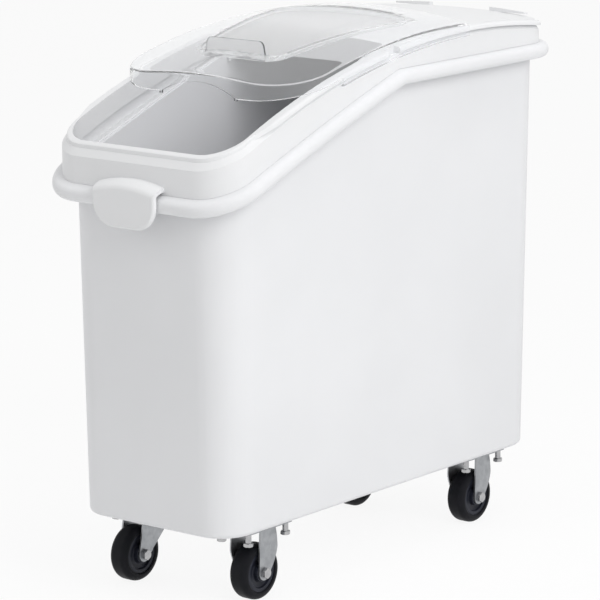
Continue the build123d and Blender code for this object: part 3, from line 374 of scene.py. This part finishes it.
def clean_copy(node, finish, edge=0.0):
    """A merged copy of a solid, with its edges bevelled if an edge width is given."""
    mesh = NODES[node].data.copy()
    if "custom_normal" in mesh.attributes:
        mesh.attributes.remove(mesh.attributes["custom_normal"])
    shape = bmesh.new()
    shape.from_mesh(mesh)
    bmesh.ops.remove_doubles(shape, verts=shape.verts, dist=2e-6)
    bmesh.ops.dissolve_limit(shape, angle_limit=FLAT, verts=shape.verts, edges=shape.edges)
    shape.to_mesh(mesh)
    shape.free()
    mesh.shade_smooth()
    mesh.set_sharp_from_angle(angle=SHARP)
    mesh.materials.clear()
    mesh.materials.append(finish)
    piece = bpy.data.objects.new(node + "_shown", mesh)
    scene.collection.objects.link(piece)
    if edge:
        bevel = piece.modifiers.new("edges", "BEVEL")
        bevel.width = edge
        bevel.segments = 2
        bevel.limit_method = "ANGLE"
        bevel.angle_limit = SHARP
        bevel.harden_normals = True
    stands_for(piece, node)
    print(piece.name, len(mesh.vertices), "points")
    return piece


# %% The three mouldings
MOULD_EDGE = 0.0012
clean_copy("tub", TUB_WHITE, MOULD_EDGE)
lid = clean_copy("lid", LID_WHITE, MOULD_EDGE)
cover = clean_copy("cover", CLEAR)

# %% [markdown]
# ### A softer pull tab
# The tab's solid has a level shelf on top. The real tab leaves the lid in one soft curve, so the shelf of the
# copy is cut into strips, and each strip drops with the square of its distance from the lid.

# %% Round the tab's top over
TAB_FACE = cad_box[0][1]  # y of the tab's front face
TAB_ROOT = -0.354  # y where it leaves the lid
TAB_REACH = 0.066  # half of its width, with its round corners
TAB_LOW = 0.530  # below this height nothing moves, and above the next all of it does
TAB_FULL = 0.552
TAB_DROP = 0.009  # how far the front face drops
TAB_STRIPS = 8


def crosses(face, y):
    """Whether a face of the tab lies across a line at y."""
    ends = [point.co.y for point in face.verts]
    return abs(face.calc_center_median().x) < TAB_REACH and min(ends) < y < max(ends)


def soften_tab(piece):
    shape = bmesh.new()
    shape.from_mesh(piece.data)
    depth = TAB_ROOT - TAB_FACE
    for strip in range(1, TAB_STRIPS):
        y = TAB_ROOT - depth * strip / TAB_STRIPS
        faces = [face for face in shape.faces if crosses(face, y)]
        edges = dict.fromkeys(edge for face in faces for edge in face.edges)
        points = dict.fromkeys(point for face in faces for point in face.verts)
        cut = faces + list(edges) + list(points)
        bmesh.ops.bisect_plane(shape, geom=cut, plane_co=(0, y, 0), plane_no=(0, 1, 0))
    moved = [v for v in shape.verts if abs(v.co.x) < TAB_REACH and v.co.y < TAB_ROOT and v.co.z > TAB_LOW]
    for point in moved:
        out = (TAB_ROOT - point.co.y) / depth
        share = min(1.0, (point.co.z - TAB_LOW) / (TAB_FULL - TAB_LOW))
        point.co.z -= TAB_DROP * share * out**2
    shape.to_mesh(piece.data)
    shape.free()
    print("tab:", len(moved), "points moved")


soften_tab(lid)

# %% [markdown]
# ### The cover's satin panel, and painted shade on its cut edges
# One moulding can have more than one skin: the tool that shapes it is polished in some places and sanded in
# others. Each face of the cover's copy is asked where it lies and which way it faces. The faces of the sunk
# panel take the satin finish, while the upright grip's rim and the arch and nibs below the front take the
# dark edge colour, which is painted shade.

# %% Where the panel, the grip and the arch lie
PANEL_FRONT = -0.150  # y of the panel's front and rear
PANEL_REAR = 0.095
PANEL_HALF_FRONT = 0.067  # half of its width at each end
PANEL_HALF_REAR = 0.112
RIM_ROUND = 0.002  # the round of its rim
ROOF_LOW = 0.68  # the whole roof is above this height
GRIP_DEPTH = 0.003  # thickness of the upright grip
GRIP_HALF = 0.0525  # half of its width
RIM_LEAN = 0.5  # the grip's rim faces the front or the rear by less than this
SKIRT_FRONT = -0.226  # y of the front skirt's outer face
SKIRT_DEPTH = 0.0028  # its thickness
ARCH_TOP = 0.6745  # height of the arch below it
ARCH_LEAN = -0.3  # the arch's faces look down by more than this
NIB_X = 0.063  # a nib's distance from the middle
NIB_HALF = 0.0021  # half of its width
NIB_TOP = 0.663  # its height
HAIR = 0.0002  # slack


def on_panel(face):
    middle = face.center
    share = (middle.y - PANEL_FRONT) / (PANEL_REAR - PANEL_FRONT)
    half = PANEL_HALF_FRONT + share * (PANEL_HALF_REAR - PANEL_HALF_FRONT)
    margin = RIM_ROUND / (PANEL_REAR - PANEL_FRONT)
    return -margin < share < 1 + margin and abs(middle.x) < half + RIM_ROUND and middle.z > ROOF_LOW


def on_grip_rim(face):
    middle = face.center
    across = PANEL_FRONT - HAIR < middle.y < PANEL_FRONT + GRIP_DEPTH + HAIR
    return across and abs(middle.x) < GRIP_HALF and abs(face.normal.y) < RIM_LEAN


def on_arch(face):
    middle = face.center
    across = middle.y < SKIRT_FRONT + SKIRT_DEPTH + HAIR and middle.z < ARCH_TOP
    nib = abs(abs(middle.x) - NIB_X) < NIB_HALF and middle.z < NIB_TOP
    return across and abs(middle.x) < NIB_X + NIB_HALF and (face.normal.z < ARCH_LEAN or nib)


# %% Faces with a finish of their own, or with painted shade
def refinish(piece, finish, rule):
    """Give another finish to the faces that a rule picks."""
    piece.data.materials.append(finish)
    slot = len(piece.data.materials) - 1
    picked = [face for face in piece.data.polygons if rule(face)]
    for face in picked:
        face.material_index = slot
    print(piece.name, finish.name, len(picked), "faces")


refinish(cover, SATIN, on_panel)
# The grip's rim and the arch and nibs below the front are painted in shade.
refinish(cover, PAINTED_EDGE_SHADE, lambda face: on_grip_rim(face) or on_arch(face))

# %% [markdown]
# ### The sheet metal
# Plates, legs and forks are stamped from sheet. They are copied in the same way, with a narrower bevel,
# because a sheared edge is never a knife edge and the bevel catches the light.

# %% Plates, legs and forks
SHEET_EDGE = 0.0005
for node in NODES:
    if node.endswith(("_plate", "_leg", "_fork")):
        clean_copy(node, ZINC, SHEET_EDGE)

# %% [markdown]
# ## Shapes grown by Geometry Nodes
# Fasteners repeat, and wheels follow a rule, so trees make them. `Shape` is a tree with named sizes, and
# `grown` runs it once, keeps the plain mesh, and throws the modifier away.


# %% A geometry tree under way
class Shape(Web):
    """A Geometry Nodes tree with named inputs for its sizes."""

    def __init__(self, name, sizes):
        super().__init__(bpy.data.node_groups.new(name, "GeometryNodeTree"))
        sockets = self.tree.interface
        sockets.new_socket("Geometry", in_out="INPUT", socket_type="NodeSocketGeometry")
        for size, kind in sizes.items():
            sockets.new_socket(size, in_out="INPUT", socket_type="NodeSocket" + kind)
        sockets.new_socket("Geometry", in_out="OUTPUT", socket_type="NodeSocketGeometry")
        self.start = self.node("NodeGroupInput")

    def size(self, name):
        return Value(self, self.start.outputs[name])

    def parts(self, vector):
        """The x, y and z of a vector."""
        node = self.node("ShaderNodeSeparateXYZ", {}, {0: vector})
        return [Value(self, output) for output in node.outputs]

    def vector(self, x=0.0, y=0.0, z=0.0):
        return self.add("ShaderNodeCombineXYZ", {}, {0: x, 1: y, 2: z})

    def on_points(self, parts):
        """Copies of some joined parts on the seed points, tilted about Y."""
        join = self.node("GeometryNodeJoinGeometry")
        for part in parts:
            self.tree.links.new(part.socket, join.inputs[0])
        sockets = {"Points": self.size("Geometry"), "Instance": Value(self, join.outputs[0])}
        sockets["Rotation"] = self.vector(y=self.size("Tilt"))
        return self.add("GeometryNodeInstanceOnPoints", {}, sockets)

    def close(self, geometry):
        """Make the copies real, set their finish, and end the tree."""
        whole = self.add("GeometryNodeRealizeInstances", {}, {"Geometry": geometry})
        sockets = {"Geometry": whole, "Material": self.size("Finish")}
        dressed = self.add("GeometryNodeSetMaterial", {}, sockets)
        self.add("NodeGroupOutput", {}, {"Geometry": dressed})
        print("tree:", self.tree.name, len(self.tree.nodes), "nodes")


# %% Grow a piece from a tree
def grown(node, shape, seed, **sizes):
    """Run a tree on seed points, keep the plain mesh, and let it stand for a node."""
    name = node + "_shown"
    seed_mesh = bpy.data.meshes.new(name)
    seed_mesh.from_pydata(seed, [], [])
    carrier = bpy.data.objects.new(name, seed_mesh)
    scene.collection.objects.link(carrier)
    maker = carrier.modifiers.new("maker", "NODES")
    maker.node_group = shape.tree
    for socket in shape.tree.interface.items_tree:
        given = socket.name.replace(" ", "_").lower()
        if socket.in_out == "INPUT" and given in sizes:
            maker[socket.identifier] = sizes[given]
    ready = carrier.evaluated_get(bpy.context.evaluated_depsgraph_get())
    mesh = bpy.data.meshes.new_from_object(ready)
    bpy.data.objects.remove(carrier)
    solid = bmesh.new()
    solid.from_mesh(mesh)
    bmesh.ops.remove_doubles(solid, verts=solid.verts, dist=1e-6)
    bmesh.ops.recalc_face_normals(solid, faces=solid.faces)
    solid.to_mesh(mesh)
    solid.free()
    mesh.shade_smooth()
    mesh.set_sharp_from_angle(angle=SHARP)
    piece = bpy.data.objects.new(name, mesh)
    scene.collection.objects.link(piece)
    stands_for(piece, node)
    print(name, len(mesh.polygons), "faces")


# %% [markdown]
# ## Bolts and nuts
# A real hexagon head is a prism whose corners are turned off by a cone, which leaves a curved line across
# each flat. The tree starts from a round cylinder and sets each point's distance from the axis to the lesser
# of two rules: the hexagon, and a cone that closes in towards both ends. A shank and a tip follow the same
# axis.

# %% A hexagon head and a rod
HEX_SIDES = 48
HEX_ROWS = 8
HALF_FLAT = pi / 6  # half of the angle that one flat takes up
CONE_END = 0.475  # radius of the cone at the ends, as a share of the width across flats
CONE_SLOPE = sqrt(3)  # the cone stands at 30 degrees to the end faces
ROD_SIDES = 32


def hexagon_head(shape):
    """A hexagon prism from the origin upward, its corners turned off by a cone at both ends."""
    head = shape.size("Head")
    flats = shape.size("Across flats")
    sizes = {"Vertices": HEX_SIDES, "Side Segments": HEX_ROWS, "Radius": 1.0, "Depth": head}
    billet = shape.add("GeometryNodeMeshCylinder", {"fill_type": "NGON"}, sizes)
    x, y, z = shape.parts(shape.add("GeometryNodeInputPosition"))
    angle = x.maths("ARCTAN2", y, x)
    turn = angle.maths("PINGPONG", angle + pi, HALF_FLAT)
    prism = 0.5 * flats / turn.maths("COSINE", HALF_FLAT - turn)
    cone = CONE_END * flats + CONE_SLOPE * (0.5 * head - abs(z))
    reach = prism.least(cone)
    across = reach * angle.maths("COSINE", angle)
    along = reach * angle.maths("SINE", angle)
    place = shape.vector(across, along, z + 0.5 * head)
    return shape.add("GeometryNodeSetPosition", {}, {"Geometry": billet, "Position": place})


def rod(shape, width, start, end, tip):
    """A round rod along Z with a turned-off tip."""
    sizes = {"Vertices": ROD_SIDES, "Radius": 0.5 * width, "Depth": end - start - tip}
    body = shape.add("GeometryNodeMeshCylinder", {"fill_type": "NGON"}, sizes)
    sizes = {"Vertices": ROD_SIDES, "Depth": tip}
    sizes.update({"Radius Bottom": 0.5 * width, "Radius Top": 0.5 * width - tip})
    point = shape.add("GeometryNodeMeshCone", {"fill_type": "NGON"}, sizes)
    lifted = {"Geometry": body, "Translation": shape.vector(z=0.5 * (start + end - tip))}
    on_end = {"Geometry": point, "Translation": shape.vector(z=end - tip)}
    return [shape.add("GeometryNodeTransform", {}, part) for part in (lifted, on_end)]


# %% Trees for nuts and bolts
NUT_SIZES = {"Across flats": "Float", "Head": "Float", "Tilt": "Float", "Finish": "Material"}
ROD_SIZES = {"Shoulder": "Float", "Shoulder length": "Float", "Shank": "Float", "Length": "Float"}
nuts = Shape("hexagon_nuts", NUT_SIZES)
nuts.close(nuts.on_points([hexagon_head(nuts)]))
bolts = Shape("hexagon_bolts", {**NUT_SIZES, **ROD_SIZES})
neck = bolts.size("Head") + bolts.size("Shoulder length")
shoulder = rod(bolts, bolts.size("Shoulder"), bolts.size("Head"), neck, tip=0.0003)
shank = rod(bolts, bolts.size("Shank"), neck, bolts.size("Length"), tip=0.0006)
bolts.close(bolts.on_points([hexagon_head(bolts)] + shoulder + shank))

# %% [markdown]
# ### Sixteen plate bolts
# Four bolts hold each caster. Their heads hang below the plate on long shoulders, and their nuts sit on the
# floor of the tub. The places follow from the four plates, so the tree gets sixteen seed points, and one run
# makes all the bolts.

# %% Plate bolts and their nuts
CASTERS = [f"{end}_{side}" for end in ("front", "rear") for side in ("left", "right")]
BOLT_PITCH_X = 0.045
BOLT_PITCH_Y = 0.076
BOLT_HEX = {"across_flats": 0.012, "head": 0.005}
BOLT_ROD = {"shoulder": 0.008, "shoulder_length": 0.0125, "shank": 0.006}
NUT_FLATS = 0.010


def middle_of(node):
    low, high = (Vector(corner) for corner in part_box(node))
    return (low + high) / 2


def bolt_places(z):
    spots = []
    for caster in CASTERS:
        plate = middle_of(caster + "_plate")
        for i in (-0.5, 0.5):
            spots += [(plate.x + i * BOLT_PITCH_X, plate.y + j * BOLT_PITCH_Y, z) for j in (-0.5, 0.5)]
    return spots


low, high = (corner[2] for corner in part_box("plate_bolts"))
grown("plate_bolts", bolts, bolt_places(low), length=high - low, finish=BRIGHT, **BOLT_HEX, **BOLT_ROD)
low, high = (corner[2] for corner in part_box("plate_nuts"))
grown("plate_nuts", nuts, bolt_places(low), across_flats=NUT_FLATS, head=high - low, finish=BRIGHT)

# %% [markdown]
# ### Axle bolts
# Each wheel turns on a bolt that lies across its fork or legs, with its head on the right and a nut on the
# left. The same trees make them, tilted by a quarter turn. The axle has no shoulder, so a short stub that is
# a hair wider than the shank takes its place.

# %% Axle bolts and their nuts
AXLE_HEAD = 0.0055
AXLE_WIDTH = 0.008
AXLE_STUB = 0.001
AXLE_HAIR = 0.0002
AXLE_ROD = {"shoulder": AXLE_WIDTH, "shoulder_length": AXLE_STUB, "shank": AXLE_WIDTH - AXLE_HAIR}
AXLE_HEX = {"across_flats": 0.013, "tilt": -pi / 2, "finish": BRIGHT}


def right_end(node):
    """The middle of a node's right end, and the node's length from right to left."""
    low, high = (Vector(corner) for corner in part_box(node))
    return (high.x, (low.y + high.y) / 2, (low.z + high.z) / 2), high.x - low.x


for caster in CASTERS:
    place, length = right_end(caster + "_axle_bolt")
    grown(caster + "_axle_bolt", bolts, [place], head=AXLE_HEAD, length=length, **AXLE_ROD, **AXLE_HEX)
    place, length = right_end(caster + "_axle_nut")
    grown(caster + "_axle_nut", nuts, [place], head=length, **AXLE_HEX)

# %% [markdown]
# ## Turned pieces
# Tyres, wheel discs, washers and rivets are all one outline turned about an axis. The tree lays a grid, reads
# its rows as points of the outline and its columns as steps round the axis, and bends it into a closed skin.
# One tree makes them all, from outlines written as radius and height in millimetres.

# %% A tree that turns an outline about an axis
spun = Shape(
    "turned_outline",
    {"Outline": "Object", "Points": "Int", "Steps": "Int", "Tilt": "Float", "Finish": "Material"},
)
rows = spun.size("Points")
sheet = spun.add(
    "GeometryNodeMeshGrid",
    {},
    {"Size X": 1.0, "Size Y": 1.0, "Vertices X": spun.size("Steps"), "Vertices Y": rows},
)
column, row, _ = spun.parts(spun.add("GeometryNodeInputPosition"))  # each from -0.5 to 0.5
outline_points = spun.add("GeometryNodeObjectInfo", {}, {"Object": spun.size("Outline")}, out="Geometry")
row_number = row.maths("ROUND", (row + 0.5) * (rows - 1))
outline_place = spun.add("GeometryNodeInputPosition")
found = spun.add(
    "GeometryNodeSampleIndex",
    {"data_type": "FLOAT_VECTOR", "domain": "POINT"},
    {"Geometry": outline_points, "Value": outline_place, "Index": row_number},
)
radius, _, height = spun.parts(found)
swing = 2 * pi * (column + 0.5)
bent = spun.vector(radius * swing.maths("COSINE", swing), radius * swing.maths("SINE", swing), height)
skin = spun.add("GeometryNodeSetPosition", {}, {"Geometry": sheet, "Position": bent})
spun.close(spun.on_points([skin]))


# %% Helpers for outlines
def turned(node, outline, places, steps, finish, tilt=0.0):
    """Turn an outline of (radius, height) in millimetres at some places, to stand for a node."""
    points = bpy.data.meshes.new("outline")
    points.from_pydata([(r / 1000, 0, h / 1000) for r, h in outline], [], [])
    holder = bpy.data.objects.new("outline", points)
    scene.collection.objects.link(holder)
    sizes = {"outline": holder, "points": len(outline), "steps": steps + 1}
    grown(node, spun, places, tilt=tilt, finish=finish, **sizes)
    bpy.data.objects.remove(holder)


def arc(centre_r, centre_h, size, start, end, steps):
    """Points of a round corner, from one angle to another in degrees."""
    angles = [radians(start + (end - start) * i / steps) for i in range(steps + 1)]
    return [(centre_r + size * cos(a), centre_h + size * sin(a)) for a in angles]


def both_sides(half):
    """An outline mirrored about its middle, and closed."""
    return half + [(r, -h) for r, h in reversed(half)] + half[:1]


# %% [markdown]
# ### Wheels
# A tyre and its disc are the same on both sides, so only half of each outline is written, and then mirrored.
# The disc has a raised hub, a dished web with soft corners, and a rim that the tyre sits on. An axis along Z
# is tilted by a quarter turn, to lie across the bin.

# %% Tyres and wheel discs
TYRE = both_sides([(27, -12.5), (28.5, -14)] + arc(29, -5.5, 8.5, -90, 0, 12))
DISC = both_sides(
    [(6.08, -15.5)]
    + arc(11.7, -14.7, 0.8, -90, 0, 3)
    + arc(14.5, -10, 2.0, 180, 90, 5)
    + arc(19.5, -10, 2.0, 90, 0, 5)
    + arc(22.3, -11.2, 0.8, 180, 270, 3)
    + arc(26.15, -11.2, 0.8, -90, 0, 3)
)
for caster in CASTERS:
    hub = [tuple(middle_of(caster + "_tyre"))]
    turned(caster + "_tyre", TYRE, hub, steps=96, finish=RUBBER, tilt=pi / 2)
    turned(caster + "_wheel_core", DISC, hub, steps=80, finish=NYLON, tilt=pi / 2)

# %% [markdown]
# ### Washers and rivets
# A washer lies under each nut in the tub, and domed rivets hold the rigid legs to their plates. Both are
# turned at many places in one run, as the bolts are.

# %% Washers and rivets
SMALL_STEPS = 32
WASHER = both_sides([(3.3, -0.6), (3.5, -0.8)] + arc(7.7, -0.5, 0.3, -90, 0, 3))
RIVET_LENGTH = 5.5
RIVET_HEAD = [(0, -2), (1.4, -1.92), (2.6, -1.6), (3.6, -1.0), (4.1, -0.4), (4.25, 0)]
RIVET = RIVET_HEAD + [(2.5, 0), (2.5, RIVET_LENGTH), (0, RIVET_LENGTH)]
RIVET_X = 0.0095  # from the middle of a plate to a leg's rivets
RIVET_Y = 0.007
RIVET_STEP = 0.008  # from a leg's middle to each of its two rivets
washer_spots = bolt_places(middle_of("plate_washers").z)
turned("plate_washers", WASHER, washer_spots, SMALL_STEPS, BRIGHT)
rivet_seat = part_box("leg_rivets")[1][2] - RIVET_LENGTH / 1000
rivet_spots = []
for caster in ("front_right", "rear_right"):
    plate = middle_of(caster + "_plate")
    for side in (-1, 1):
        spots = [plate.y + side * RIVET_Y + step * RIVET_STEP for step in (-1, 1)]
        rivet_spots += [(plate.x + side * RIVET_X, y, rivet_seat) for y in spots]
turned("leg_rivets", RIVET, rivet_spots, SMALL_STEPS, BRIGHT)

# %% [markdown]
# ## What stays as it came
# The races, balls, kingpins and axle sleeves sit inside the casters and are plain turned steel, so their
# solids stay, with the finish of their slot.

# %% Dress what is left
METALS = {"zinc_steel": ZINC, "bright_steel": BRIGHT}
kept = [node for node, solid in NODES.items() if not solid.hide_render]
for node in kept:
    NODES[node].data.materials.clear()
    NODES[node].data.materials.append(METALS[SLOT_OF[node]])
print("kept solids:", len(kept))

# %% [markdown]
# ## The studio
# The bin stands on a pale floor in a white room. The background is white for the camera, and for what mirrors
# or passes the light, while the lamps and a dimmer world set how bright the bin is. A mix by the kind of ray
# keeps the two apart, so the floor can be white and still show the bin's shadow.


# %% White for the view alone
def white_for_view(web):
    """1 for a ray from the camera, a mirror or clear plastic, and 0 for one that a surface scattered."""
    path = web.node("ShaderNodeLightPath").outputs
    rays = ("Is Camera Ray", "Is Glossy Ray", "Is Transmission Ray")
    camera, mirror, clear = (Value(web, path[ray]) for ray in rays)
    scattered = Value(web, path["Diffuse Depth"])
    return (camera + mirror + clear - scattered) > 0.5


# %% Floor
FLOOR_SIZE = 30.0
FLOOR_GLOW = 0.9  # share of plain white in what the camera sees of the floor
WHITE = (1, 1, 1, 1)
ground = Finish("pale_floor")
speckle = ground.noise(scale=3.0, detail=3.0)
ground_colour = ground.blend(speckle, (0.90, 0.90, 0.90, 1), (0.92, 0.92, 0.92, 1))
matt = ground.add("ShaderNodeBsdfDiffuse", {}, {"Color": ground_colour})
glow = ground.add("ShaderNodeEmission", {}, {"Color": WHITE, "Strength": 1.0})
share = FLOOR_GLOW * white_for_view(ground)
ground.done(ground.add("ShaderNodeMixShader", {}, {0: share, 1: matt, 2: glow}))
ground.material.cycles.emission_sampling = "NONE"  # the glow lights nothing, so it isn't sampled as a lamp

floor_mesh = bpy.data.meshes.new("studio_floor")
half = FLOOR_SIZE / 2
corners = [(-half, -half, 0), (half, -half, 0), (half, half, 0), (-half, half, 0)]
floor_mesh.from_pydata(corners, [], [(0, 1, 2, 3)])
floor_mesh.materials.append(ground.material)
studio_floor = bpy.data.objects.new("studio_floor", floor_mesh)
scene.collection.objects.link(studio_floor)

# %% Air
WORLD_LIGHT = 0.56
world = bpy.data.worlds.new("studio_air")
scene.world = world
world.use_nodes = True
air = Web(world.node_tree)
strength = WORLD_LIGHT + (1 - WORLD_LIGHT) * white_for_view(air)
backdrop = air.add("ShaderNodeBackground", {}, {"Color": WHITE, "Strength": strength})
air.add("ShaderNodeOutputWorld", {}, {"Surface": backdrop})
print("air:", WORLD_LIGHT, "of white falls on the bin")

# %% [markdown]
# ### Lamps
# A key lamp high on the right, a weak fill on the left and a lamp from above, all of them large discs, so
# that shadows are soft. They are hidden from mirrors, because a bright disc in the gloss of the cover or of a
# bolt would give the studio away.


# %% Lamps
def soft_lamp(name, place, target, size, power):
    lamp = bpy.data.lights.new(name, "AREA")
    lamp.shape = "DISK"
    lamp.size = size
    lamp.energy = power
    holder = bpy.data.objects.new(name, lamp)
    holder.location = place
    holder.rotation_mode = "QUATERNION"
    holder.rotation_quaternion = (Vector(target) - Vector(place)).to_track_quat("-Z", "Y")
    holder.visible_glossy = False
    scene.collection.objects.link(holder)
    print("lamp:", name, size, "m wide,", power, "W")


soft_lamp("key", place=(2.8, -0.7, 2.3), target=(0, 0, 0.4), size=2.0, power=42)
soft_lamp("fill", place=(-2.8, -1.4, 1.8), target=(0, 0, 0.6), size=2.2, power=8)
soft_lamp("top", place=(0.7, -0.2, 3.3), target=(0, 0, 0.5), size=1.6, power=17)

# %% [markdown]
# ## The camera
# The place, the aim and the long lens come from lining up the bin's edges with the photograph.

# %% Camera
EYE = Vector((2.9088, -3.6477, 1.3297))
AIM = Vector((0.0058, -0.0041, 0.3517))
ROLL = -0.0056
lens = bpy.data.cameras.new("studio_camera")
lens.sensor_width = 36.0
lens.lens = 210.9
lens.shift_x = -0.0158
lens.shift_y = -0.0018
camera = bpy.data.objects.new("studio_camera", lens)
camera.location = EYE
camera.rotation_mode = "QUATERNION"
camera.rotation_quaternion = (AIM - EYE).to_track_quat("-Z", "Y") @ Quaternion((0, 0, 1), ROLL)
scene.collection.objects.link(camera)
scene.camera = camera
scene.view_settings.view_transform = "Standard"
print("camera:", round((AIM - EYE).length, 2), "m away")

# %% [markdown]
# ## Sizes
# The box of the solids, taken when the frame was loaded, is printed at the end.

# %% Sizes, and the end
print("cad", [tuple(round(x, 4) for x in p) for p in cad_box])
